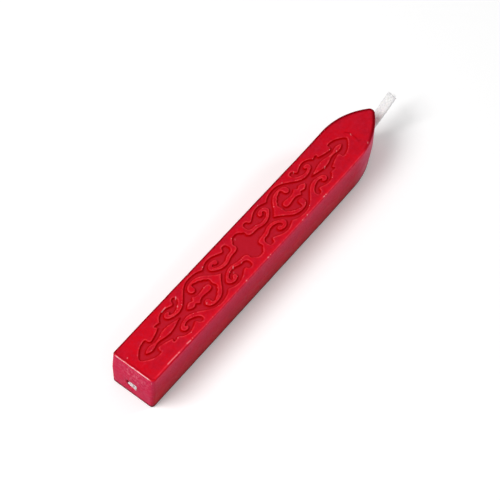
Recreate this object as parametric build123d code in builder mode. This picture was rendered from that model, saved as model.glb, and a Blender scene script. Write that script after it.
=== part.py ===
"""Cast sealing wax stick: a bar of wax with a pointed end, a flat cotton wick cast in along its length and a
scrollwork ornament sunk into the upper face. Millimetres, +Z up, +X towards the pointed end, origin at the
middle of the flat underside. The wick leaves the point at half the bar's height, in the parting plane, and
lies lower at the blunt end.
"""

import os
from math import cos, hypot, radians, sin

from build123d import *

# Bar, measured at the parting plane, where it is widest
LENGTH = 90.0
WIDTH = 12.0
HEIGHT = 12.0
DRAFT = 2.5  # degrees, release angle of each mould half
POINT_LENGTH = 13.4  # stretch over which the sides close to the point
NOSE_R = 1.5
CORNER_R = 1.1  # upright corners of the blunt end
EDGE_R = 0.35  # edges of the upper face and the underside

# Wick
WICK_W = 2.2
WICK_T = 1.4
WICK_EDGE_R = 0.5
WICK_DROP = 2.1  # how much lower it lies at the blunt end than at the point
WICK_FREE = 8.5  # from the wax to the cut end
WICK_RISE = 32.0  # degrees, how far the free end is bent up
WICK_SUNK = 0.5  # from the blunt end's face to the wick's end in its dimple
BEND_GAP = 0.3  # between the held stretch and the free one
DIMPLE_MARGIN = 0.35  # all round the wick
DIMPLE_DEPTH = 0.9

# Ornament
CUT_DEPTH = 0.45
ORNAMENT_END_GAP = 2.75  # plain wax at the blunt end
ORNAMENT_POINT_GAP = 11.05  # plain wax at the pointed end
ORNAMENT_SIDE_GAP = 1.33

# Worked out from the sizes above
HALF_L = LENGTH / 2
HALF_W = WIDTH / 2
MID_Z = HEIGHT / 2
PARTING = Plane.XY.offset(MID_Z)
WICK_START = (-HALF_L, 0, MID_Z - WICK_DROP)
BLUNT_END = Plane(WICK_START, x_dir=(0, 1, 0), z_dir=(1, 0, 0))
WICK_LINE = Plane(WICK_START, x_dir=(0, 1, 0), z_dir=(LENGTH, 0, WICK_DROP))
WICK_HELD = hypot(LENGTH, WICK_DROP)
POINT_X = HALF_L - POINT_LENGTH
NOSE_X = HALF_L - NOSE_R
POINT_R = ((NOSE_X - POINT_X) ** 2 + HALF_W**2 - NOSE_R**2) / (2 * (HALF_W - NOSE_R))
BEND_X = HALF_L + BEND_GAP + WICK_T / 2
BEND_TO_CUT = WICK_FREE - (BEND_X - HALF_L)
ORNAMENT_X = (ORNAMENT_END_GAP - ORNAMENT_POINT_GAP) / 2
ORNAMENT_HALF_L = (LENGTH - ORNAMENT_END_GAP - ORNAMENT_POINT_GAP) / 2
ORNAMENT_HALF_W = HALF_W - ORNAMENT_SIDE_GAP

# The ornament is drawn for one quarter, as (along, across) from its centre, and mirrored twice. An outline
# is a row of runs that meet at corners: two points make a straight run, more make a curve through them.
DRAWN_HALF_L = 38.15
DRAWN_HALF_W = 4.95

# Outer edge of the sunk figure: cartouche, stem, oval, crossing, flank and arrowhead
STRAP = [
    [(0, 4.1), (0.95, 3.9), (1.5, 3.2)],
    [(1.5, 3.2), (2.05, 2.8), (1.95, 2.1)],
    [
        (1.95, 2.1), (2.35, 1.3), (3.3, 1.05), (4.8, 0.98), (6.0, 0.6), (7.2, 0.42), (8.6, 0.7),
        (9.9, 1.45), (11.0, 2.6),
    ],
    [(11.0, 2.6), (11.75, 3.9)],
    [
        (11.75, 3.9), (13.2, 4.65), (15.0, 4.95), (16.6, 4.85), (18.0, 4.25), (19.4, 3.2), (20.7, 2.1),
        (22.0, 1.3), (23.2, 1.0), (24.5, 1.1), (25.7, 1.5),
    ],
    [(25.7, 1.5), (29.3, 2.2)],
    [(29.3, 2.2), (30.5, 1.7), (31.8, 1.3), (33.0, 1.05)],
    [(33.0, 1.05), (33.5, 1.6), (33.4, 2.4)],
    [(33.4, 2.4), (34.8, 2.35), (36.3, 1.75), (37.4, 0.95), (37.95, 0.4), (38.15, 0)],
]

# Raised field of the oval: its rim curls to a drop, and a toothed leaf edge closes it
FIELD = [
    [
        (9.6, 0), (10.6, 0.75), (11.7, 1.85), (12.7, 2.95), (13.9, 3.75), (15.4, 4.1), (16.9, 3.95),
        (17.9, 3.3), (18.15, 2.45), (17.75, 1.75), (17.1, 1.6), (16.5, 2.1), (16.45, 2.8), (16.3, 3.35),
    ],
    [(16.3, 3.35), (15.7, 3.3), (15.1, 2.95)],
    [(15.1, 2.95), (14.5, 2.85), (14.05, 2.3)],
    [(14.05, 2.3), (13.5, 2.15), (13.2, 1.55)],
    [(13.2, 1.55), (12.7, 1.25), (12.75, 0.6), (12.95, 0)],
]

# Raised tongue inside the oval, with two barbs and a spade at its end
TONGUE = [
    [(13.55, 0), (13.8, 0.65), (14.5, 0.85), (16.0, 0.68), (17.4, 0.66), (18.1, 0.9), (18.6, 1.3)],
    [(18.6, 1.3), (18.95, 0.9), (19.35, 0.45)],
    [(19.35, 0.45), (20.3, 0.88), (21.1, 0.6), (21.75, 0)],
]

# Raised lens after the crossing, which runs on into the core of the arrowhead
LENS = [
    [
        (24.2, 0), (25.6, 0.35), (27.6, 0.85), (29.2, 0.92), (30.6, 0.62), (31.8, 0.32), (33.0, 0.42),
        (34.2, 0.68), (35.3, 0.52), (36.1, 0),
    ],
]

# Sunk leaf scroll beside the stem, wound round a raised curl
SCROLL = [
    [(11.75, 3.9), (11.0, 4.25), (10.0, 4.65), (8.8, 4.75), (7.6, 4.5), (6.4, 3.9), (5.3, 3.35)],
    [
        (5.3, 3.35), (4.75, 3.7), (4.55, 4.15), (4.0, 4.35), (3.4, 4.15), (3.2, 3.5), (3.2, 2.8),
        (3.6, 2.25), (4.6, 2.05), (5.5, 1.9), (6.3, 1.5), (7.3, 1.35), (8.5, 1.6), (9.4, 2.15),
        (9.55, 2.8), (8.9, 3.0),
    ],
    [
        (8.9, 3.0), (8.75, 2.55), (8.1, 2.4), (7.65, 2.85), (7.8, 3.45), (8.6, 3.85), (9.7, 3.85),
        (10.5, 3.35), (10.8, 2.6), (10.4, 1.9),
    ],
    [(10.4, 1.9), (12.2, 3.0)],
    [(12.2, 3.0), (11.75, 3.9)],
]

# Smaller sunk leaf scroll past the oval, with a barb on its outer side
BARBED_SCROLL = [
    [(29.3, 2.2), (29.55, 2.6), (30.0, 3.1)],
    [(30.0, 3.1), (29.1, 2.95), (28.15, 2.75)],
    [(28.15, 2.75), (27.5, 3.5), (26.6, 4.0), (25.5, 4.15), (24.3, 3.9), (23.3, 3.45)],
    [
        (23.3, 3.45), (22.5, 3.7), (22.3, 4.3), (21.85, 4.6), (21.25, 4.45), (21.1, 3.75), (21.55, 3.0),
        (22.6, 2.35), (23.6, 2.0), (24.6, 2.0), (25.3, 2.35), (25.45, 2.75),
    ],
    [
        (25.45, 2.75), (25.1, 2.5), (24.75, 2.75), (24.95, 3.2), (25.7, 3.4), (26.4, 3.0), (26.55, 2.3),
        (26.1, 1.7), (25.4, 1.3),
    ],
    [(25.4, 1.3), (28.0, 1.2)],
    [(28.0, 1.2), (29.3, 2.2)],
]


def sized(point):
    """A drawn point at the ornament's real size."""
    along, across = point
    return (along * ORNAMENT_HALF_L / DRAWN_HALF_L, across * ORNAMENT_HALF_W / DRAWN_HALF_W)


def outline(runs):
    """Draws the runs, and shuts them along the long axis where they end on it."""
    for run in runs:
        points = [sized(point) for point in run]
        if len(points) == 2:
            Line(*points)
        else:
            Spline(*points)
    first = sized(runs[0][0])
    last = sized(runs[-1][-1])
    if first != last:
        on_axis = (first[0], 0)
        Line(last, on_axis)
        if first != on_axis:
            Line(on_axis, first)


with BuildSketch(Plane((ORNAMENT_X, 0, HEIGHT))) as ornament:
    with BuildLine():
        outline(STRAP)
    make_face()
    for raised in (FIELD, TONGUE, LENS):
        with BuildLine():
            outline(raised)
        make_face(mode=Mode.SUBTRACT)
    for leaf in (SCROLL, BARBED_SCROLL):
        with BuildLine():
            outline(leaf)
        make_face()
    mirror(about=Plane.XZ)
    mirror(about=Plane.YZ)

# Wax bar: one mould half is drawn out from the parting plane and mirrored, then cut
with BuildPart() as wax_body:
    with BuildSketch(PARTING):
        with BuildLine():
            spread = POINT_R / hypot(NOSE_X - POINT_X, POINT_R - HALF_W)
            into_nose = (
                POINT_X + (NOSE_X - POINT_X) * spread,
                (POINT_R - HALF_W) * (spread - 1),
            )
            end = Line((-HALF_L, 0), (-HALF_L, HALF_W))
            side = Line(end @ 1, (POINT_X, HALF_W))
            point = TangentArc(side @ 1, into_nose, tangent=side % 1)
            TangentArc(into_nose, (HALF_L, 0), tangent=point % 1)
            mirror(about=Plane.XZ)
        make_face()
    extrude(amount=MID_Z)
    fillet(wax_body.edges().filter_by(Axis.Z).group_by(Axis.X)[0], CORNER_R)
    draft(wax_body.faces().filter_by(Axis.Z, reverse=True), neutral_plane=PARTING, angle=DRAFT)
    fillet(wax_body.faces().sort_by(Axis.Z)[-1].edges(), EDGE_R)
    mirror(about=PARTING)
    extrude(ornament.sketch, amount=-CUT_DEPTH, mode=Mode.SUBTRACT)
    with BuildSketch(BLUNT_END):
        SlotOverall(WICK_W + 2 * DIMPLE_MARGIN, WICK_T + 2 * DIMPLE_MARGIN)
    extrude(amount=DIMPLE_DEPTH, mode=Mode.SUBTRACT)
    with BuildSketch(WICK_LINE):
        RectangleRounded(WICK_W, WICK_T, WICK_EDGE_R)
    extrude(amount=WICK_HELD, mode=Mode.SUBTRACT)

# Stretch of the wick that the wax holds
with BuildPart() as wick:
    with BuildSketch(WICK_LINE.offset(WICK_SUNK)):
        RectangleRounded(WICK_W, WICK_T, WICK_EDGE_R)
    extrude(amount=WICK_HELD - WICK_SUNK)

# Free end of the wick, which bends about its rounded root just outside the wax
with BuildPart() as wick_tip:
    rise = radians(WICK_RISE)
    with BuildSketch(Plane((BEND_X, 0, MID_Z), x_dir=(cos(rise), 0, sin(rise)), z_dir=(0, -1, 0))):
        with BuildLine():
            upper = Line((BEND_TO_CUT, WICK_T / 2), (0, WICK_T / 2))
            root = TangentArc(upper @ 1, (0, -WICK_T / 2), tangent=upper % 1)
            lower = Line(root @ 1, (BEND_TO_CUT, -WICK_T / 2))
            Line(lower @ 1, upper @ 0)
        make_face()
    extrude(amount=WICK_W / 2, both=True)
    cut_end = wick_tip.faces().sort_by(Axis.X)[-1]
    fillet(wick_tip.faces().filter_by(Axis.Y).edges() - cut_end.edges(), WICK_EDGE_R)

os.makedirs("parts", exist_ok=True)
wax_body.part.label = "wax_body"
export_step(wax_body.part, "parts/wax_body.step")
wick.part.label = "wick"
export_step(wick.part, "parts/wick.step")
wick_tip.part.label = "wick_tip"
export_step(wick_tip.part, "parts/wick_tip.step")
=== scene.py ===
"""Sealing wax stick: a red bar cast round a white cotton wick, with a sunk ornament on its upper face."""
import math
import random
from collections import namedtuple

import bpy
import numpy as np
from mathutils import Matrix, Vector
from mathutils.kdtree import KDTree


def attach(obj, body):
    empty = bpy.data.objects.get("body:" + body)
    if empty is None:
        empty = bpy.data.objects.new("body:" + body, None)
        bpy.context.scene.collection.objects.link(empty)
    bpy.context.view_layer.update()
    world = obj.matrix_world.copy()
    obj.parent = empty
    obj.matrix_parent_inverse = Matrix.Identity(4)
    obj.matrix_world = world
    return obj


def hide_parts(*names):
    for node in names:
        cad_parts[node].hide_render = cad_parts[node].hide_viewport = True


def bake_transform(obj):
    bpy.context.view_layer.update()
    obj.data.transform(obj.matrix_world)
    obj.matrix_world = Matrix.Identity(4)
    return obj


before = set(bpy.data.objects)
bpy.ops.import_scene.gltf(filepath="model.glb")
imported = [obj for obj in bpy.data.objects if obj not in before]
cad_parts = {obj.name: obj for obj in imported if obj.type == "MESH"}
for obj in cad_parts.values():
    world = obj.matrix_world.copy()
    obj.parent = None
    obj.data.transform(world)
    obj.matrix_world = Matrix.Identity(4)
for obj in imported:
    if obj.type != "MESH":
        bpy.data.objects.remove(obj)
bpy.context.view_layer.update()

# Lengths are in millimetres, unless a comment says otherwise.
MM = 0.001
SEED = 7

# ---- the bar, as the solids have it ----
TOP_Z = 12.0
TOP_EDGE = (5.66, 11.88)        # how far out and how high the middle of the upper edges' rounding is
END_EDGE_X = -44.66             # the same rounding at the blunt end
CUT_DEPTH = 0.45
CUT_X = (-42.5, 34.2)           # the ornament's reach along the bar
CUT_HALF_WIDTH = 4.87
CUT_Z = TOP_Z - 1.5 * CUT_DEPTH  # no part of the ornament lies below this
SAME_POINT = 0.002              # points this near each other are one

# ---- the cast skin ----
SKIN_VOXEL = 0.125              # fine enough for the walls of the cut
SMOOTHING = 0.5                 # how far one round of smoothing moves a point, as a share
SKIN_SOFTENING = 2              # rounds that take the bite off every edge
CUT_SOFTENING = 8               # rounds in the cut: its walls slope, as a casting's do
SKIN_WOBBLE = 0.05              # how far the faces stray from flat
SKIN_WOBBLE_SIZE = 6.0
BOW = 0.35                      # how far the casting bends to +Y towards its point
BOW_X = (22.0, 46.0)
SKIN_TRIANGLES = 190000
# The mesh stays fine near the upper edges and the cut, near a stroke of painted glint, and round the wick in the blunt
# end
FINE_ABOVE = 11.2
FINE_SLOPE = 0.96               # what faces up less than this is an edge or the cut
FINE_REACH = 0.75
FINE_STROKE = 0.4
FINE_END_X = -43.5
FINE_END_MIDDLE = (0.0, 4.1)    # y and z
FINE_END_R = 2.4

# Dents (depth above 0) and lumps (below 0): x, y, z, radius, depth
TOP_MARKS = (
    (-43.6, 2.3, 12.0, 0.35, -0.10),
    (35.5, 0.4, 12.0, 0.40, -0.10),
    (36.1, -4.2, 12.0, 0.45, 0.16),
    (-37.2, -1.8, 12.0, 0.30, -0.08),
    (-24.6, 4.2, 12.0, 0.32, -0.10),
    (-22.8, 2.8, 12.0, 0.30, -0.10),
    (-40.2, 1.9, 12.0, 0.30, 0.08),
    (12.4, 4.7, 12.0, 0.35, -0.07),
    (24.3, -3.6, 12.0, 0.30, -0.07),
    (-8.0, 5.2, 12.0, 0.40, 0.07),
)
# The wax sinks in above the wick at the blunt end
WICK_HOLLOW = tuple((-45.0, y, 4.95, 0.75, 0.30) for y in (-1.0, -0.5, 0.0, 0.5, 1.0))
# A scratch in the mould leaves a faint raised curve ahead of the ornament: x and y
MOULD_SCRATCH = ((34.96, 1.3), (35.36, 0.4), (35.46, -0.5), (35.36, -1.7), (34.96, -2.7))
SCRATCH_R = 0.30
SCRATCH_DEPTH = -0.012
SCRATCH_PARTS = (0.0, 0.25, 0.5, 0.75)      # where small lumps make it up, between one point and the next
SCRATCH_FADE = (0.30, 0.05)     # how far from its middle it fades out, and where it is full
# Nicks along the long edges, most of them at -Y, and along the edge of the blunt end: a pair is a range
EDGE_NICKS = 46
NICK_X = (-44.0, 30.0)
NICK_SIDES = (-1, -1, -1, 1)
NICK_R = (0.22, 0.55)
NICK_DEPTH = (0.02, 0.06)
END_NICKS = 6
END_NICK_Y = (-5.0, 5.0)
END_NICK_R = (0.2, 0.4)
END_NICK_DEPTH = (0.01, 0.03)
# Short strokes of painted glint: from, to, how strongly
GLINTS = (
    ((-4.75, 3.1, 12.0), (-4.45, 3.35, 12.0), 1.0),
    ((-25.4, 3.65, 12.0), (-25.0, 3.95, 12.0), 0.95),
    ((-29.9, 3.95, 12.0), (-28.5, 4.05, 12.0), 0.7),
    ((-11.1, -1.25, 12.0), (-10.7, -0.95, 12.0), 0.8),
    ((-11.9, -2.05, 12.0), (-11.5, -1.75, 12.0), 0.75),
    ((35.9, -4.8, 12.0), (36.2, -4.55, 12.0), 0.6),
    ((23.85, -0.9, 12.0), (24.2, -0.7, 12.0), 0.6),
    ((-43.6, 2.35, 12.0), (-43.4, 2.45, 12.0), 0.6),
    ((-26.75, 2.05, 12.0), (-26.45, 2.35, 12.0), 0.6),
    ((35.2, -0.35, 12.0), (35.45, -0.05, 12.0), 0.5),
    ((-22.05, -2.4, 12.0), (-21.75, -2.2, 12.0), 0.5),
    ((29.3, -0.4, 12.0), (29.55, -0.2, 12.0), 0.45),
    ((18.1, 3.85, 12.0), (18.3, 3.95, 12.0), 0.45),
    ((-44.6, 4.5, 11.9), (-44.6, 4.3, 11.9), 0.9),
    ((-44.75, -5.3, 11.4), (-44.75, -5.3, 11.1), 0.7),
    ((-39.1, -5.27, 12.0), (-36.0, -5.32, 12.0), 0.75),
    ((-35.6, -5.33, 12.0), (-35.2, -5.33, 12.0), 0.9),
    ((-32.5, -5.28, 12.0), (-31.4, -5.40, 12.0), 0.85),
)
GLINT_SHARE = 0.65
GLINT_FADE = (0.15, 0.04)
STROKE_SINK = (1.0, 1.0, 0.25)  # a stroke reaches this much more easily down into the cut than sideways

# ---- where the marks on the skin lie ----
# A pair is a fade, nothing at its first number and all at its second, unless a comment says otherwise. A slope is how
# far a face looks up: 1 on the upper face and 0 on a wall.
SUNK = (0.12, CUT_DEPTH - 0.08)  # depths below the upper face
WALL_SLOPE = (0.95, 0.65)
WALL_FROM = 0.6                 # the share from which a point counts as wall
FLOOR_SHADE = (0.40, 0.0)       # how far the painted shade at the foot of the cut's walls reaches
RIM_WIDTH = 0.40                # the painted highlight along the cut's rims
RIM_DEPTH = 0.15
EDGE_SLOPE_ABOVE = (0.93, 0.81)
EDGE_SLOPE_BELOW = (0.45, 0.65)
EDGE_DEPTH = 0.8
EDGE_FROM = 0.5                 # the share from which a point counts as edge
END_EDGE_REACH = 0.4            # what lies this far behind the blunt end's edge belongs to it
END_HIGHLIGHT_SLOPE = (0.52, 0.68)
END_HIGHLIGHT_Y = (5.2, 4.4)
END_LINE = (0.45, 0.2, 0.5)     # the painted dark line of shade behind that edge: how far behind, half its width, how strong
FACE_SLOPE = 0.95
NEAR_EDGE_END = 34.0            # where the painted highlight line at -Y gives way to the point
POINT_EDGE_X = (NEAR_EDGE_END - 1.0, NEAR_EDGE_END + 5.5)   # where the painted shade along the edge at -Y sets in
EDGE_HIGHLIGHT_X = (-32.0, -27.0)       # two places along the painted highlight line, and its y there: further in at the blunt end
EDGE_HIGHLIGHT_Y = (-5.30, -5.52)
EDGE_HIGHLIGHT_FADE = (0.20, 0.04)
EDGE_HIGHLIGHT_DEPTH = 0.4
EDGE_HIGHLIGHT_START = (-44.0, -42.5)
EDGE_HIGHLIGHT_END = (NEAR_EDGE_END, NEAR_EDGE_END - 2.0)
EDGE_SHADE_X = (25.0, 38.0)      # two places along the painted dark edge at +Y and round the point, and its width there
EDGE_SHADE_WIDTH = (0.44, 0.85)
EDGE_SHADE_FADE = (1.0, 0.4)
# where light is painted on the upper face along the near edge
EDGE_LIGHT_Y = (-4.5, -5.4)
EDGE_LIGHT_SLOPE = 0.8
EDGE_LIGHT_DEPTH = 0.3
SIDEWAYS = (0.25, 1.0)          # how far a face has to look to a side to belong to it
BELOW_EDGE_SLOPE = (0.7, 0.2)
# reflection of the pale floor, painted on the sides and rising with height
SIDE_REFLECTION_Z = (1.0, TOP_Z)
SIDE_REFLECTION_RISE = 1.5
POINT_SIDEWAYS = (0.4, 0.9)
# reflection painted on the sides of the point
POINT_REFLECTION_X = (30.0, 34.0)
# light painted on the side just below the near edge
LIGHT_BELOW_EDGE_Z = (10.4, 11.7)
# shade painted low on the sides
LOW_SIDE_SHADE_Z = (3.2, 1.0)
END_HAZE = ((-0.7, 9.2), (3.0, 2.4))        # a soft patch: its middle and its reach, each in y and z
# shade painted above the wick, in the hollow: its middle and its reach, in y and z
ABOVE_WICK = ((0.0, 4.9), (1.5, 0.65))
DIMPLE_X = (-44.9, -43.8)       # from and to: the dimple round the wick
DIMPLE_HALF_Y = 1.8
DIMPLE_Z = 3.9
DIMPLE_HALF_Z = 1.5
DIMPLE_SHADE_Z = 4.0            # its roof, above this, gets painted shade, and its floor the end's painted reflection

# ---- the wax's colours ----
# Layers are laid from the first to the last. A layer keeps to a mark on the skin, or lies all over, and a cloud breaks
# it up: its size in millimetres, its detail, the stretch of the noise that it takes, and the least that is left.
Layer = namedtuple("Layer", "finish colour share mark cloud")
Cloud = namedtuple("Cloud", "size detail low high least")
WAX_RED = "#C6162A"
WAX_LAYERS = (
    Layer("slow drifts of pigment", "#D60C1E", 1.0, None, Cloud(5.0, 5.0, 0.36, 0.64, 0.0)),
    Layer("dark flecks", "#B01026", 0.45, None, Cloud(1.4, 4.0, 0.44, 0.70, 0.0)),
    Layer("light flecks", "#CC223A", 0.5, None, Cloud(0.8, 3.0, 0.46, 0.70, 0.0)),
    # painted light along the near edge
    Layer("painted light along the near edge", "#E8182C", 0.5, "painted_edge_light", None),
    Layer("dull floor of the cut", "#BC1C2C", 0.85, "cut_floor", None),
    # painted shade on the cut's walls and on the floor beside them
    Layer("painted shade on the cut's walls", "#B60004", 1.0, "painted_cut_shade", None),
    # painted highlight on the cut's rims
    Layer("painted highlight on the cut's rims", "#F44450", 0.72, "painted_rim_highlight", Cloud(1.3, 4.0, 0.40, 0.62, 0.15)),
    # painted glints, in specks, along the cut's rims
    Layer("painted glints on the rims", "#FFB4BC", 1.0, "painted_rim_highlight", Cloud(0.5, 2.0, 0.66, 0.73, 0.0)),
    # painted shade along the far upper edges and behind the blunt end's edge
    Layer("painted shade along the far edges", "#80000A", 1.0, "painted_edge_shade", None),
    # painted shade low on the sides
    Layer("painted shade low on the sides", "#80000E", 0.30, "painted_low_side_shade", None),
    # painted reflection of the pale floor on the sides
    Layer("painted reflection on the sides", "#E83C64", 1.0, "painted_side_reflection", Cloud(0.5, 3.0, 0.35, 0.65, 0.55)),
    # painted reflection on the sides of the point
    Layer("paler painted reflection on the point", "#E47CA8", 0.33, "painted_point_reflection", Cloud(0.5, 3.0, 0.35, 0.65, 0.55)),
    # painted light on the side just below the near edge
    Layer("painted light below the near edge", "#F83050", 0.6, "painted_light_below_edge", None),
    # painted reflection on the blunt end and the dimple's floor
    Layer("painted reflection on the end", "#DC3468", 0.45, "painted_end_reflection", None),
    Layer("specks of bloom", "#F4A0B8", 0.10, "painted_end_reflection", Cloud(0.75, 4.0, 0.46, 0.68, 0.0)),
    Layer("milky patch", "#F08CA0", 0.55, "end_haze", Cloud(0.75, 4.0, 0.46, 0.68, 0.0)),
    # painted shade in the hollow round the wick
    Layer("painted shade in the hollow round the wick", "#8C0014", 0.9, "hollow", None),
    # painted highlight line along the near upper edge
    Layer("painted highlight line at the near edge", "#F44C64", 0.55, "painted_edge_highlight", Cloud(1.1, 4.0, 0.44, 0.60, 0.45)),
    # painted glints on that highlight line
    Layer("painted glints on the highlight line", "#FFC8CE", 0.5, "painted_edge_highlight", Cloud(1.6, 4.0, 0.60, 0.66, 0.0)),
    # painted highlight on the blunt end's upper edge
    Layer("painted highlight on the end edge", "#FFDCE0", 1.0, "painted_end_highlight", Cloud(1.1, 4.0, 0.42, 0.56, 0.45)),
    # painted shade along the mould's scratch
    Layer("painted shade along the mould scratch", "#A4000C", 0.6, "scratch", None),
    # painted glints in short strokes
    Layer("painted glint strokes", "#FFB4BC", 1.0, "glint", None),
)
CLOUD_ROUGHNESS = 0.65
NOISE_RANGE = (0.3, 0.7)            # where nearly all of a noise's values lie
WAX_IOR = 1.45
PAINTED_FOOT_SHADE = "#54000C"
PAINTED_FOOT_SHADE_SHARE = 0.75
PAINTED_FOOT_SHADE_Z = (0.05, 0.12, 0.60, 1.40)  # painted contact shade at the foot: it sets in over the first two, and fades over the last two
GRAIN_SIZE = 0.9
GRAIN_ROUGH = (0.27, 0.40)
CUT_FLOOR_DULL = 0.16               # how much rougher the floor of the cut is
BLOOM_DULL = 3.0                    # and how much rougher a speck of bloom is than its share
RIPPLE_SIZE = 2.4
RIPPLE_HEIGHT = 0.05
TOOTH_SIZE = 0.45                   # drawn coarser than the real skin's, which is too fine to show
TOOTH_HEIGHT = 0.025
WAX_GLOW_DEPTH = 0.8                # how deep light goes in

# ---- the wick ----
WICK_ROUTE = (
    (-45.6, -0.06, 3.70), (-30.0, 0.0, 4.25), (0.0, 0.0, 4.95), (30.0, 0.0, 5.65), (43.0, -0.05, 5.97),
    (44.9, -0.1, 6.15), (47.2, -0.22, 7.55), (49.5, -0.27, 8.9), (52.95, -0.29, 10.72),
)
ROUTE_STEPS = 24                # points drawn for each one above
WICK_STEP = 0.25
STRANDS = 5
STRAND_R = 0.40
STRAND_SWAY = 0.88              # how far a strand swings to each side
STRAND_LIFT = 0.12
PLAIT_PITCH = 5.4               # one whole crossing of the plait
PLAIT_START = 0.061             # where in a crossing it starts, so that the strands lie side by side at the blunt end
YARNS = 5                       # threads twisted into one strand
YARN_PITCH = 2.6
YARN_POINTS = 8                 # points round each thread in a strand's outline
YARN_LOBE = 0.12                # how far the threads stand out of a strand
WICK_MODEL = 10.0               # modelled ten times up, because the remesh takes no voxel under 0.1 mm
WICK_VOXEL = 0.075
WICK_SOFTENING = 2
WICK_TRIANGLES = 90000
PRESS_LENGTH = 5.0              # towards the blunt end the wick is pressed wider and thinner
PRESS_WIDE = 0.2
PRESS_THIN = 0.40
END_ROLL = math.radians(19.0)   # the wick lies a little askew there
ROLL_LENGTH = 15.0
FLARE = 0.05                    # the free end spreads a little
FLARE_LENGTH = 8.0
BLUNT_CUT = (-44.84, 0.0, 3.9)  # where the wick is cut off, and which way each cut faces
BLUNT_CUT_WAY = (-1.0, 0.0, 0.0)
FREE_CUT = (52.25, -0.28, 10.35)
FREE_CUT_WAY = (0.86, -0.17, 0.47)
LOOSE_FIBRES = 14
FIBRE_R = 0.035
FIBRE_PARTS = 4
FIBRE_TAPER = 0.6
FIBRE_LENGTH = (0.5, 1.0)
FIBRE_ROOT = 0.5                # how deep in the wick it starts
FIBRE_SPREAD = (0.85, 0.4)      # across the wick and through it
FIBRE_LEAN = 0.35
FIBRE_DROOP = ((-0.2, 0.2), (-0.25, 0.1))
COTTON = ("#F0F0EE", "#FAFAF9")
COTTON_ROUGH = (0.62, 0.45)
THREAD_SIZE = (2.5, 0.22, 0.22)     # along, across and through: coarser than real fibres, which are too fine to show
THREAD_HEIGHT = 0.05
COTTON_GLOW_DEPTH = 1.2

# ---- the photograph's view ----
CAMERA_AT = (-190.10, -119.94, 363.33)
CAMERA_LOOK = Vector((0.44677, 0.28637, -0.84759))
CAMERA_UP = Vector((0.65465, 0.54104, 0.52796))
LENS = 133.2
SENSOR = 36.0
CAMERA_CLIP = 10.0
FLOOR_SIZE = 8000.0
FLOOR_DROP = 0.02               # clear of the bar's underside
PAPER = "#CCCCCC"               # as the bar sees it
PAPER_LIFT = 0.12               # what the camera's white floor gives off, so that it stays white
ROOM_LEVEL = (0.44, 0.30)       # brightness at the horizon and overhead
ROOM_TOP = 0.7
# Name, the side that it stands on, its distance and size in metres, and its power in watts
LAMPS = (
    ("key_lamp", (-0.54, 0.27, 0.81), 0.60, 0.30, 2.64),
    ("edge_lamp", (0.70, -0.45, 0.60), 0.70, 0.12, 0.75),
)


def linear(hex_colour):
    """An sRGB hex colour as linear red, green, blue and full alpha."""
    shares = [int(hex_colour[i:i + 2], 16) / 255 for i in (1, 3, 5)]
    return tuple(c / 12.92 if c <= 0.04045 else ((c + 0.055) / 1.055) ** 2.4 for c in shares) + (1.0,)


def per(size_mm):
    """A texture scale, in repeats per metre, for a feature of this many millimetres."""
    return 1000.0 / size_mm


def add(tree, kind, sockets=None, **settings):
    """One node: settings are its own, and sockets are values or other nodes' outputs for its inputs."""
    made = tree.nodes.new(kind)
    for name, value in settings.items():
        setattr(made, name, value)
    for key, value in (sockets or {}).items():
        if isinstance(value, bpy.types.NodeSocket):
            tree.links.new(value, made.inputs[key])
        else:
            made.inputs[key].default_value = value
    return made


def new_material(name):
    """An empty material and its node tree."""
    material = bpy.data.materials.new(name)
    material.use_nodes = True
    material.node_tree.nodes.clear()
    return material, material.node_tree


def new_object(name, data):
    """An object in the scene that holds this mesh or curve."""
    made = bpy.data.objects.new(name, data)
    bpy.context.collection.objects.link(made)
    return made


def only(piece):
    """Leaves this piece alone selected and active."""
    bpy.ops.object.select_all(action="DESELECT")
    piece.select_set(True)
    bpy.context.view_layer.objects.active = piece


def apply(piece, kind, **settings):
    """Adds a modifier and applies it."""
    only(piece)
    made = piece.modifiers.new(kind.lower(), kind)
    for name, value in settings.items():
        setattr(made, name, value)
    bpy.ops.object.modifier_apply(modifier=made.name)


def thin_out(piece, triangles, where=""):
    """Collapses edges, only in the named group of points if one is given, down to about this many triangles."""
    now = sum(len(face.vertices) - 2 for face in piece.data.polygons)
    if now > triangles:
        apply(piece, "DECIMATE", ratio=triangles / now, vertex_group=where)


def to_mesh(piece):
    """Turns a curve into its mesh."""
    only(piece)
    bpy.ops.object.convert(target="MESH")
    return bpy.context.object


def read_points(piece):
    """A mesh's points, in millimetres, and their normals."""
    count = len(piece.data.vertices)
    places, normals = np.empty(count * 3, np.float32), np.empty(count * 3, np.float32)
    piece.data.vertices.foreach_get("co", places)
    piece.data.vertex_normals.foreach_get("vector", normals)
    return places.reshape(-1, 3) / MM, normals.reshape(-1, 3)


def write_points(piece, places):
    """Moves a mesh's points to these places, in millimetres."""
    piece.data.vertices.foreach_set("co", (places * MM).ravel())
    piece.data.update()


def keep(piece, name, values, kind="FLOAT"):
    """Stores a number or a vector on each point, for the material to read."""
    attribute = piece.data.attributes.new(name, kind, "POINT")
    attribute.data.foreach_set("value" if kind == "FLOAT" else "vector", values.astype(np.float32).ravel())


def tree_of(places):
    """A search tree for the nearest of these places."""
    tree = KDTree(len(places))
    for number, place in enumerate(places):
        tree.insert(place, number)
    tree.balance()
    return tree


def gap_to(places, chosen):
    """How far each point is from the nearest chosen one, in millimetres."""
    tree = tree_of(places[chosen])
    return np.array([tree.find(place)[2] for place in places])


def gap_to_stroke(places, start, end):
    """How far each point is from a straight stroke, in millimetres."""
    start, run = np.array(start), np.array(end) - np.array(start)
    part = np.clip((places - start) @ run / (run @ run), 0, 1)
    off = (places - start - part[:, None] * run) * STROKE_SINK
    return np.linalg.norm(off, axis=1)


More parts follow.
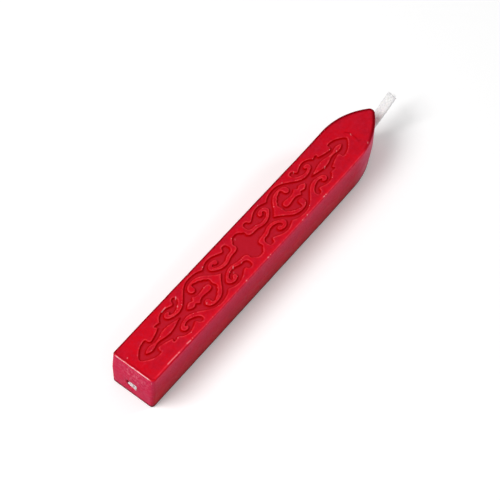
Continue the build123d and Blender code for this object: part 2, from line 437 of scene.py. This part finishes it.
def fading(values, low, high):
    """0 at low, 1 at high, and straight between them; high may be the smaller."""
    return np.clip((values - low) / (high - low), 0, 1)


def patch(y, z, middle, reach):
    """1 in the middle of a soft round patch on the blunt end, and fading away from it."""
    return np.exp(-((y - middle[0]) / reach[0]) ** 2 - ((z - middle[1]) / reach[1]) ** 2)


# ---- camera, floor and light ----

def photograph_camera():
    """The camera where the photograph's perspective puts it."""
    bpy.ops.object.camera_add()
    camera = bpy.context.object
    camera.name = "photograph_camera"
    right = CAMERA_LOOK.cross(CAMERA_UP).normalized()
    up = right.cross(CAMERA_LOOK).normalized()
    turn = Matrix((right, up, -CAMERA_LOOK.normalized())).transposed().to_4x4()
    camera.matrix_world = Matrix.Translation(Vector(CAMERA_AT) * MM) @ turn
    camera.data.lens = LENS
    camera.data.sensor_width = SENSOR
    camera.data.clip_start = CAMERA_CLIP * MM
    bpy.context.scene.camera = camera


def paper_floor():
    """A wide floor, which shows white where nothing shades it and keeps the bar's shadow."""
    bpy.ops.mesh.primitive_plane_add(size=FLOOR_SIZE * MM, location=(0, 0, -FLOOR_DROP * MM))
    floor = bpy.context.object
    floor.name = "paper_floor"
    material, tree = new_material("matt_white_paper")
    paper = add(tree, "ShaderNodeBsdfDiffuse", {"Color": linear(PAPER)})
    white = add(tree, "ShaderNodeBsdfDiffuse", {"Color": (1, 1, 1, 1)})
    lift = add(tree, "ShaderNodeEmission", {"Color": (1, 1, 1, 1), "Strength": PAPER_LIFT})
    seen = add(tree, "ShaderNodeAddShader", {0: white.outputs[0], 1: lift.outputs[0]})
    ray = add(tree, "ShaderNodeLightPath")
    mirrored = add(tree, "ShaderNodeMath", {0: ray.outputs["Is Glossy Ray"], 1: ray.outputs["Is Transmission Ray"]},
                   operation="MAXIMUM")
    direct = add(tree, "ShaderNodeMath", {0: ray.outputs["Is Camera Ray"], 1: mirrored.outputs[0]},
                 operation="MAXIMUM")
    shown = add(tree, "ShaderNodeMixShader", {0: direct.outputs[0], 1: paper.outputs[0], 2: seen.outputs[0]})
    add(tree, "ShaderNodeOutputMaterial", {"Surface": shown.outputs[0]})
    floor.data.materials.append(material)


def soft_lamp(name, towards, distance, size, power):
    """A square lamp that looks at the bar from the given side."""
    bpy.ops.object.light_add(type="AREA")
    lamp = bpy.context.object
    lamp.name = name
    away = Vector(towards).normalized()
    lamp.location = away * distance
    lamp.rotation_euler = away.to_track_quat("Z", "Y").to_euler()
    lamp.data.size = size
    lamp.data.energy = power


def studio_light():
    """A pale room and two soft lamps, at the level where a colour looks as it is written."""
    scene = bpy.context.scene
    scene.view_settings.view_transform = "Standard"
    world = bpy.data.worlds.new("pale_room")
    scene.world = world
    world.use_nodes = True
    tree = world.node_tree
    tree.nodes.clear()
    way = add(tree, "ShaderNodeTexCoord")
    height = add(tree, "ShaderNodeSeparateXYZ", {0: way.outputs["Generated"]})
    level = add(tree, "ShaderNodeMapRange", {
        "Value": height.outputs["Z"], "From Min": 0.0, "From Max": ROOM_TOP, "To Min": ROOM_LEVEL[0],
        "To Max": ROOM_LEVEL[1]}, interpolation_type="SMOOTHSTEP")
    room = add(tree, "ShaderNodeBackground", {"Color": (1, 1, 1, 1), "Strength": level.outputs[0]})
    add(tree, "ShaderNodeOutputWorld", {"Surface": room.outputs[0]})
    for lamp in LAMPS:
        soft_lamp(*lamp)


# ---- the cast bar ----

def edge_nicks():
    """Small dents along the upper edges, where sticks knock together in their box."""
    dice = random.Random(SEED)
    nicks = []
    for _ in range(EDGE_NICKS):
        x = dice.uniform(*NICK_X)
        side = dice.choice(NICK_SIDES)
        nicks.append((x, side * TOP_EDGE[0], TOP_EDGE[1], dice.uniform(*NICK_R), dice.uniform(*NICK_DEPTH)))
    for _ in range(END_NICKS):
        nicks.append((END_EDGE_X, dice.uniform(*END_NICK_Y), TOP_EDGE[1], dice.uniform(*END_NICK_R),
                      dice.uniform(*END_NICK_DEPTH)))
    return nicks


def mould_scratch():
    """The scratch's raised curve as a row of small lumps."""
    marks = []
    for (x0, y0), (x1, y1) in zip(MOULD_SCRATCH, MOULD_SCRATCH[1:]):
        for part in SCRATCH_PARTS:
            marks.append((x0 + (x1 - x0) * part, y0 + (y1 - y0) * part, TOP_Z, SCRATCH_R, SCRATCH_DEPTH))
    return marks


def press(piece, marks):
    """Dents or lumps in a skin: each mark is x, y, z, radius and depth."""
    places, normals = read_points(piece)
    for x, y, z, radius, depth in marks:
        gap = np.linalg.norm(places - np.array((x, y, z)), axis=1) / radius
        near = gap < 1
        places[near] -= normals[near] * (depth * (1 - gap[near] ** 2) ** 2)[:, None]
    write_points(piece, places)


def bow(bar):
    """Bends the cooled casting a little sideways towards its point."""
    places, _ = read_points(bar)
    part = np.clip((places[:, 0] - BOW_X[0]) / (BOW_X[1] - BOW_X[0]), 0, 1)
    places[:, 1] += BOW * part ** 2 * (3 - 2 * part)
    write_points(bar, places)


def in_cut(places):
    """Which points belong to the ornament."""
    return ((places[:, 0] > CUT_X[0]) & (places[:, 0] < CUT_X[1]) & (abs(places[:, 1]) < CUT_HALF_WIDTH)
            & (places[:, 2] > CUT_Z))


def needs_fine_mesh(bar):
    """Which points lie where the shape or the marks are fine."""
    places, normals = read_points(bar)
    above = places[:, 2] > FINE_ABOVE
    fine = above & (gap_to(places, above & (normals[:, 2] < FINE_SLOPE)) < FINE_REACH)
    fine |= (places[:, 0] < FINE_END_X) & (np.linalg.norm(places[:, 1:] - FINE_END_MIDDLE, axis=1) < FINE_END_R)
    for start, end, _ in GLINTS:
        fine |= gap_to_stroke(places, start, end) < FINE_STROKE
    return fine


def cast_bar():
    """The wax bar: the solid's shape with the soft edges, small dents and slight wobble of a casting."""
    bar = new_object("cast_wax_bar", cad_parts["wax_body"].data.copy())
    bar.data.materials.clear()
    only(bar)
    bpy.ops.object.mode_set(mode="EDIT")
    bpy.ops.mesh.select_all(action="SELECT")
    bpy.ops.mesh.remove_doubles(threshold=SAME_POINT * MM)
    bpy.ops.object.mode_set(mode="OBJECT")
    apply(bar, "REMESH", mode="VOXEL", voxel_size=SKIN_VOXEL * MM)
    apply(bar, "SMOOTH", factor=SMOOTHING, iterations=SKIN_SOFTENING)
    ornament = bar.vertex_groups.new(name="ornament")
    ornament.add(np.flatnonzero(in_cut(read_points(bar)[0])).tolist(), 1.0, "REPLACE")
    apply(bar, "SMOOTH", factor=SMOOTHING, iterations=CUT_SOFTENING, vertex_group="ornament")
    bar.vertex_groups.clear()
    wobble = bpy.data.textures.new("casting_wobble", "CLOUDS")
    wobble.noise_scale = SKIN_WOBBLE_SIZE * MM
    wobble.noise_depth = 1
    apply(bar, "DISPLACE", texture=wobble, texture_coords="LOCAL", strength=SKIN_WOBBLE * MM, mid_level=0.5)
    press(bar, [*TOP_MARKS, *WICK_HOLLOW, *mould_scratch(), *edge_nicks()])
    plain = bar.vertex_groups.new(name="plain")
    plain.add(np.flatnonzero(~needs_fine_mesh(bar)).tolist(), 1.0, "REPLACE")
    thin_out(bar, SKIN_TRIANGLES, "plain")
    bar.vertex_groups.clear()
    places, normals = read_points(bar)
    mark_cut(bar, places, normals)
    mark_edges(bar, places, normals)
    mark_strokes(bar, places)
    mark_bloom_and_painted_light(bar, places, normals)
    bow(bar)
    only(bar)
    bpy.ops.object.shade_smooth()
    bar.data.materials.append(sealing_wax())
    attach(bar, "stick")
    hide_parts("wax_body")


def mark_cut(bar, places, normals):
    """Tells the material where the ornament's floor lies, where shade is painted on its walls and at their foot, and
    where highlights are painted on its rims.
    """
    z = places[:, 2]
    inside = in_cut(places)
    sunk = fading(z, TOP_Z - SUNK[0], TOP_Z - SUNK[1]) * inside
    wall = fading(normals[:, 2], *WALL_SLOPE) * inside
    wall_gap = gap_to(places, wall > WALL_FROM)
    keep(bar, "cut_floor", sunk * (1 - wall))
    # shade painted on the cut's walls and on its floor near them
    keep(bar, "painted_cut_shade", np.maximum(wall, sunk * fading(wall_gap, *FLOOR_SHADE)))
    # highlight painted along the cut's rims
    keep(bar, "painted_rim_highlight", fading(abs(wall_gap - RIM_WIDTH / 2), RIM_WIDTH / 2, 0.0) * (z > TOP_Z - RIM_DEPTH))


def mark_edges(bar, places, normals):
    """Tells the material where highlights are painted on the upper edges, and painted shade along the far edges and
    behind the blunt end's edge.
    """
    x, y, z = places.T
    slope = normals[:, 2]
    edge = (fading(slope, *EDGE_SLOPE_ABOVE) * fading(slope, *EDGE_SLOPE_BELOW) * (z > TOP_Z - EDGE_DEPTH)
            * ~in_cut(places))
    at_end = x < END_EDGE_X + END_EDGE_REACH
    # highlight painted on the blunt end's upper edge
    keep(bar, "painted_end_highlight", edge * fading(slope, *END_HIGHLIGHT_SLOPE) * at_end * fading(abs(y), *END_HIGHLIGHT_Y))

    # highlight painted as a line along the near upper edge
    near = ~at_end & (y < 0) & (x < NEAR_EDGE_END)
    line_gap = abs(y - np.interp(x, EDGE_HIGHLIGHT_X, EDGE_HIGHLIGHT_Y))
    keep(bar, "painted_edge_highlight", fading(line_gap, *EDGE_HIGHLIGHT_FADE) * (z > TOP_Z - EDGE_HIGHLIGHT_DEPTH) * near
         * fading(x, *EDGE_HIGHLIGHT_START) * fading(x, *EDGE_HIGHLIGHT_END))

    # shade painted along the far upper edges, and as a dark line behind the blunt end's edge
    far_gap = gap_to(places, (edge > EDGE_FROM) & ~at_end & ~near)
    deep = fading(far_gap / np.interp(x, EDGE_SHADE_X, EDGE_SHADE_WIDTH), *EDGE_SHADE_FADE)
    deep = deep * np.where(y < 0, fading(x, *POINT_EDGE_X), 1.0)
    behind, half_width, strength = END_LINE
    end_gap = gap_to(places, (edge > EDGE_FROM) & at_end)
    end_line = strength * fading(abs(end_gap - behind), half_width, 0.0) * (slope > FACE_SLOPE)
    keep(bar, "painted_edge_shade", np.maximum(deep, end_line))


def mark_strokes(bar, places):
    """Tells the material where the painted shade along the mould's scratch and the strokes of painted glint lie."""
    # shade painted along the mould's scratch
    scratch_gap = np.min([gap_to_stroke(places, (*start, TOP_Z), (*end, TOP_Z))
                          for start, end in zip(MOULD_SCRATCH, MOULD_SCRATCH[1:])], axis=0)
    keep(bar, "scratch", fading(scratch_gap, *SCRATCH_FADE))
    # glints painted in short strokes
    keep(bar, "glint", np.max([strength * GLINT_SHARE * fading(gap_to_stroke(places, start, end), *GLINT_FADE)
                               for start, end, strength in GLINTS], axis=0))


def mark_bloom_and_painted_light(bar, places, normals):
    """Tells the material where light is painted along and below the near edge, where reflections are painted on the
    sides, the point and the blunt end, where shade is painted low on the sides and in the hollow round the wick, and
    where the blunt end's milky patch lies.
    """
    x, y, z = places.T
    slope = normals[:, 2]
    outside = ~in_cut(places)
    # light painted on the upper face along the near edge
    keep(bar, "painted_edge_light", fading(y, *EDGE_LIGHT_Y) * (slope > EDGE_LIGHT_SLOPE) * (z > TOP_Z - EDGE_LIGHT_DEPTH)
         * (x < NEAR_EDGE_END))
    side = fading(abs(normals[:, 1]), *SIDEWAYS) * fading(slope, *BELOW_EDGE_SLOPE) * outside
    # reflection painted on the sides, stronger higher up
    keep(bar, "painted_side_reflection", side * fading(z, *SIDE_REFLECTION_Z) ** SIDE_REFLECTION_RISE)
    any_side = fading(np.hypot(normals[:, 0], normals[:, 1]), *POINT_SIDEWAYS)
    # reflection painted on the sides of the point
    keep(bar, "painted_point_reflection", any_side * fading(x, *POINT_REFLECTION_X) * outside)
    # light painted on the side just below the near edge
    keep(bar, "painted_light_below_edge", side * fading(z, *LIGHT_BELOW_EDGE_Z) * (y < 0))
    # shade painted low on the sides
    keep(bar, "painted_low_side_shade", side * fading(z, *LOW_SIDE_SHADE_Z))

    end = fading(-normals[:, 0], *SIDEWAYS) * outside
    dimple = ((x > DIMPLE_X[0]) & (x < DIMPLE_X[1]) & (abs(y) < DIMPLE_HALF_Y)
              & (abs(z - DIMPLE_Z) < DIMPLE_HALF_Z))
    keep(bar, "end_haze", end * patch(y, z, *END_HAZE))
    # reflection painted on the blunt end and on the dimple's floor
    keep(bar, "painted_end_reflection", np.maximum(end, dimple & (z < DIMPLE_SHADE_Z)))
    # shade painted on the hollow's roof and just above the wick
    keep(bar, "hollow", np.maximum(dimple & (z > DIMPLE_SHADE_Z), patch(y, z, *ABOVE_WICK) * (x < DIMPLE_X[1])))


def sealing_wax():
    """Sealing wax, poured into a mould: light goes a little way into the red, the skin has a low gloss, and the floor
    of the cut is duller than the face. Highlights are painted on the cut's rims, along and below the near upper edge,
    on the blunt end's upper edge and in short strokes; shade is painted on the cut's walls, along the far edges, along
    the mould's scratch, low on the sides, at the foot and in the hollow round the wick; reflections of the pale floor
    are painted on the sides, the point and the blunt end; and a milky bloom lies, in specks, on the blunt end."""
    material, tree = new_material("cast_sealing_wax")
    place = add(tree, "ShaderNodeTexCoord").outputs["Object"]

    colour, laid, marks = linear(WAX_RED), {}, {}
    for layer in WAX_LAYERS:
        amount = layer.share
        if layer.cloud:
            cloud = add(tree, "ShaderNodeTexNoise", {
                "Vector": place, "Scale": per(layer.cloud.size), "Detail": layer.cloud.detail,
                "Roughness": CLOUD_ROUGHNESS})
            amount = add(tree, "ShaderNodeMapRange", {
                "Value": cloud.outputs["Fac"], "From Min": layer.cloud.low, "From Max": layer.cloud.high,
                "To Min": layer.cloud.least * layer.share, "To Max": layer.share}).outputs[0]
        if layer.mark:
            marks[layer.mark] = add(tree, "ShaderNodeAttribute", attribute_name=layer.mark).outputs["Fac"]
            amount = add(tree, "ShaderNodeMath", {0: marks[layer.mark], 1: amount}, operation="MULTIPLY",
                         use_clamp=True).outputs[0]
        colour = add(tree, "ShaderNodeMix", {0: amount, 6: colour, 7: linear(layer.colour)},
                     data_type="RGBA").outputs[2]
        laid[layer.finish] = amount
    # shade painted at the foot, darker towards the bottom of the bar
    height = add(tree, "ShaderNodeSeparateXYZ", {0: place}).outputs["Z"]
    below = add(tree, "ShaderNodeMapRange", {
        "Value": height, "From Min": PAINTED_FOOT_SHADE_Z[3] * MM, "From Max": PAINTED_FOOT_SHADE_Z[2] * MM, "To Max": PAINTED_FOOT_SHADE_SHARE})
    foot_shading = add(tree, "ShaderNodeMapRange", {
        "Value": height, "From Min": PAINTED_FOOT_SHADE_Z[0] * MM, "From Max": PAINTED_FOOT_SHADE_Z[1] * MM, "To Max": below.outputs[0]})
    colour = add(tree, "ShaderNodeMix", {0: foot_shading.outputs[0], 6: colour, 7: linear(PAINTED_FOOT_SHADE)},
                 data_type="RGBA").outputs[2]

    # gloss: low on the face, lower on the floor of the cut and under the bloom
    grain = add(tree, "ShaderNodeTexNoise", {"Vector": place, "Scale": per(GRAIN_SIZE), "Detail": 3.0,
                                             "Roughness": 0.6})
    rough = add(tree, "ShaderNodeMapRange", {
        "Value": grain.outputs["Fac"], "From Min": NOISE_RANGE[0], "From Max": NOISE_RANGE[1],
        "To Min": GRAIN_ROUGH[0], "To Max": GRAIN_ROUGH[1]})
    rough = add(tree, "ShaderNodeMath", {0: marks["cut_floor"], 1: CUT_FLOOR_DULL, 2: rough.outputs[0]},
                operation="MULTIPLY_ADD")
    rough = add(tree, "ShaderNodeMath", {0: laid["specks of bloom"], 1: BLOOM_DULL, 2: rough.outputs[0]},
                operation="MULTIPLY_ADD")

    # skin: soft ripples from the pour, and a fine tooth
    ripple = add(tree, "ShaderNodeTexNoise", {"Vector": place, "Scale": per(RIPPLE_SIZE), "Detail": 2.0,
                                              "Roughness": 0.5})
    bump = add(tree, "ShaderNodeBump", {"Strength": 0.6, "Distance": RIPPLE_HEIGHT * MM,
                                        "Height": ripple.outputs["Fac"]})
    tooth = add(tree, "ShaderNodeTexNoise", {"Vector": place, "Scale": per(TOOTH_SIZE), "Detail": 3.0,
                                             "Roughness": 0.6})
    bump = add(tree, "ShaderNodeBump", {"Strength": 0.35, "Distance": TOOTH_HEIGHT * MM,
                                        "Height": tooth.outputs["Fac"], "Normal": bump.outputs[0]})
    # the clear coat lies where the highlight is painted on the blunt end's upper edge
    skin = add(tree, "ShaderNodeBsdfPrincipled", {
        "Base Color": colour, "Roughness": rough.outputs[0], "IOR": WAX_IOR, "Specular IOR Level": 0.012,
        "Subsurface Weight": 0.35, "Subsurface Radius": (1.0, 0.22, 0.18), "Subsurface Scale": WAX_GLOW_DEPTH * MM,
        "Coat Weight": laid["painted highlight on the end edge"], "Coat Roughness": 0.15, "Normal": bump.outputs[0]})
    add(tree, "ShaderNodeOutputMaterial", {"Surface": skin.outputs[0]})
    return material


# ---- the wick ----

def wick_middle():
    """Even steps along the wick's smooth middle line, and the points there."""
    curve = bpy.data.curves.new("wick_route", "CURVE")
    curve.dimensions = "3D"
    curve.resolution_u = ROUTE_STEPS
    spline = curve.splines.new("NURBS")
    spline.points.add(len(WICK_ROUTE) - 1)
    for point, place in zip(spline.points, WICK_ROUTE):
        point.co = (*place, 1.0)
    spline.order_u = 3
    spline.use_endpoint_u = True
    line = bpy.data.meshes.new_from_object(new_object("wick_route", curve))
    places = np.array([vertex.co for vertex in line.vertices])
    bpy.data.meshes.remove(line)
    bpy.data.curves.remove(curve)
    passed = np.concatenate(([0.0], np.cumsum(np.linalg.norm(np.diff(places, axis=0), axis=1))))
    steps = np.linspace(0.0, passed[-1], round(passed[-1] / WICK_STEP) + 1)
    return steps, np.stack([np.interp(steps, passed, places[:, axis]) for axis in range(3)], axis=1)


def wick_sides(steps, middle):
    """The wick's own directions at each step: along it, across its width, and up through its thickness."""
    along = np.gradient(middle, axis=0)
    along /= np.linalg.norm(along, axis=1)[:, None]
    across = np.cross((0.0, 0.0, 1.0), along)
    across /= np.linalg.norm(across, axis=1)[:, None]
    up = np.cross(along, across)
    roll = (END_ROLL * np.clip(1 - steps / ROLL_LENGTH, 0, 1) ** 2)[:, None]
    return along, across * np.cos(roll) + up * np.sin(roll), up * np.cos(roll) - across * np.sin(roll)


def yarn_profile():
    """A strand's outline: threads twisted together show as rounded lobes."""
    curve = bpy.data.curves.new("strand_profile", "CURVE")
    spline = curve.splines.new("POLY")
    count = YARNS * YARN_POINTS
    spline.points.add(count - 1)
    for i, point in enumerate(spline.points):
        turn = 2 * math.pi * i / count
        reach = STRAND_R * (1 + YARN_LOBE * math.cos(YARNS * turn)) * MM * WICK_MODEL
        point.co = (reach * math.cos(turn), reach * math.sin(turn), 0.0, 1.0)
    spline.use_cyclic_u = True
    return new_object("strand_profile", curve)


def twisted_strand(profile, line, steps, pressed):
    """One strand along a line, twisted as it goes and thinner where it is pressed."""
    curve = bpy.data.curves.new("strand", "CURVE")
    curve.dimensions = "3D"
    curve.bevel_mode = "OBJECT"
    curve.bevel_object = profile
    curve.use_fill_caps = True
    spline = curve.splines.new("POLY")
    spline.points.add(len(line) - 1)
    for point, place, step, thin in zip(spline.points, line, steps, pressed):
        point.co = (*(place * MM * WICK_MODEL), 1.0)
        point.tilt = 2 * math.pi * step / YARN_PITCH
        point.radius = 1 - PRESS_THIN * thin
    return to_mesh(new_object("strand", curve))


def cut_off(wick, place, way):
    """Cuts the wick off square to a direction and closes the cut."""
    only(wick)
    bpy.ops.object.mode_set(mode="EDIT")
    bpy.ops.mesh.select_all(action="SELECT")
    bpy.ops.mesh.bisect(plane_co=Vector(place) * MM * WICK_MODEL, plane_no=way, use_fill=True, clear_outer=True)
    bpy.ops.object.mode_set(mode="OBJECT")


def loose_fibres(end, along, across, up):
    """The hairs that stand out of the cut end."""
    dice = random.Random(SEED)
    wide, thick = FIBRE_SPREAD
    curve = bpy.data.curves.new("loose_fibres", "CURVE")
    curve.dimensions = "3D"
    curve.bevel_depth = FIBRE_R * MM
    curve.bevel_resolution = 1
    curve.use_fill_caps = True
    for _ in range(LOOSE_FIBRES):
        root = end + across * dice.uniform(-wide, wide) + up * dice.uniform(-thick, thick) - along * FIBRE_ROOT
        lean = along + across * dice.uniform(-FIBRE_LEAN, FIBRE_LEAN) + up * dice.uniform(-FIBRE_LEAN, FIBRE_LEAN)
        droop = across * dice.uniform(*FIBRE_DROOP[0]) + up * dice.uniform(*FIBRE_DROOP[1])
        length = dice.uniform(*FIBRE_LENGTH)
        spline = curve.splines.new("POLY")
        spline.points.add(FIBRE_PARTS)
        for number, point in enumerate(spline.points):
            part = number / FIBRE_PARTS
            point.co = (*((root + lean * length * part + droop * length * part ** 2) * MM), 1.0)
            point.radius = 1.0 - FIBRE_TAPER * part
    return to_mesh(new_object("loose_fibres", curve))


def plaited_wick():
    """The wick: five twisted strands plaited flat and soaked in wax, so that they run together."""
    steps, middle = wick_middle()
    along, across, up = wick_sides(steps, middle)
    profile = yarn_profile()
    pressed = fading(steps, PRESS_LENGTH, 0.0)
    spread = 1 + PRESS_WIDE * pressed + FLARE * fading(steps, steps[-1] - FLARE_LENGTH, steps[-1])
    strands = []
    for number in range(STRANDS):
        phase = 2 * math.pi * (PLAIT_START + steps / PLAIT_PITCH + number / STRANDS)
        sway = across * (STRAND_SWAY * spread * np.sin(phase))[:, None]
        lift = up * (STRAND_LIFT * (1 - pressed) * np.sin(2 * phase))[:, None]
        strands.append(twisted_strand(profile, middle + sway + lift, steps, pressed))
    bpy.data.objects.remove(profile)

    wick = strands[0]
    only(wick)
    for strand in strands[1:]:
        strand.select_set(True)
    bpy.ops.object.join()
    wick.name = "waxed_cotton_wick"
    apply(wick, "REMESH", mode="VOXEL", voxel_size=WICK_VOXEL * MM * WICK_MODEL)
    apply(wick, "SMOOTH", factor=SMOOTHING, iterations=WICK_SOFTENING)
    thin_out(wick, WICK_TRIANGLES)
    cut_off(wick, BLUNT_CUT, BLUNT_CUT_WAY)
    cut_off(wick, FREE_CUT, FREE_CUT_WAY)
    wick.scale = (1 / WICK_MODEL,) * 3
    only(wick)
    bpy.ops.object.transform_apply(location=True, rotation=True, scale=True)
    fibres = loose_fibres(np.array(FREE_CUT), along[-1], across[-1], up[-1])
    only(wick)
    fibres.select_set(True)
    bpy.ops.object.join()
    bpy.ops.object.shade_smooth()

    # where each point lies along, across and through the wick, for the threads
    places, _ = read_points(wick)
    tree = tree_of(middle)
    nearest = np.array([tree.find(place)[1] for place in places])
    off = places - middle[nearest]
    thread = np.stack([steps[nearest] + (off * along[nearest]).sum(1), (off * across[nearest]).sum(1),
                       (off * up[nearest]).sum(1)], axis=1)
    keep(wick, "thread", thread * MM, "FLOAT_VECTOR")
    wick.data.materials.clear()
    wick.data.materials.append(waxed_cotton())
    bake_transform(wick)
    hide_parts("wick", "wick_tip")


def waxed_cotton():
    """Cotton wick soaked in clear wax: white, a little see-through, with a dull wax shine and fine threads along
    it."""
    material, tree = new_material("waxed_cotton")
    thread = add(tree, "ShaderNodeAttribute", attribute_name="thread").outputs["Vector"]
    drawn = add(tree, "ShaderNodeMapping", {"Vector": thread, "Scale": tuple(per(size) for size in THREAD_SIZE)})
    lines = add(tree, "ShaderNodeTexNoise", {"Vector": drawn.outputs[0], "Scale": 1.0, "Detail": 3.0,
                                             "Roughness": 0.6})
    shade = add(tree, "ShaderNodeMapRange", {
        "Value": lines.outputs["Fac"], "From Min": NOISE_RANGE[0], "From Max": NOISE_RANGE[1]})
    colour = add(tree, "ShaderNodeMix", {0: shade.outputs[0], 6: linear(COTTON[0]), 7: linear(COTTON[1])},
                 data_type="RGBA")
    rough = add(tree, "ShaderNodeMapRange", {
        "Value": lines.outputs["Fac"], "From Min": NOISE_RANGE[0], "From Max": NOISE_RANGE[1],
        "To Min": COTTON_ROUGH[0], "To Max": COTTON_ROUGH[1]})
    bump = add(tree, "ShaderNodeBump", {"Strength": 0.6, "Distance": THREAD_HEIGHT * MM,
                                        "Height": lines.outputs["Fac"]})
    skin = add(tree, "ShaderNodeBsdfPrincipled", {
        "Base Color": colour.outputs[2], "Roughness": rough.outputs[0], "IOR": WAX_IOR,
        "Subsurface Weight": 0.8, "Subsurface Radius": (1.0, 1.0, 0.95),
        "Subsurface Scale": COTTON_GLOW_DEPTH * MM, "Normal": bump.outputs[0]})
    add(tree, "ShaderNodeOutputMaterial", {"Surface": skin.outputs[0]})
    return material


photograph_camera()
paper_floor()
studio_light()
cast_bar()
plaited_wick()
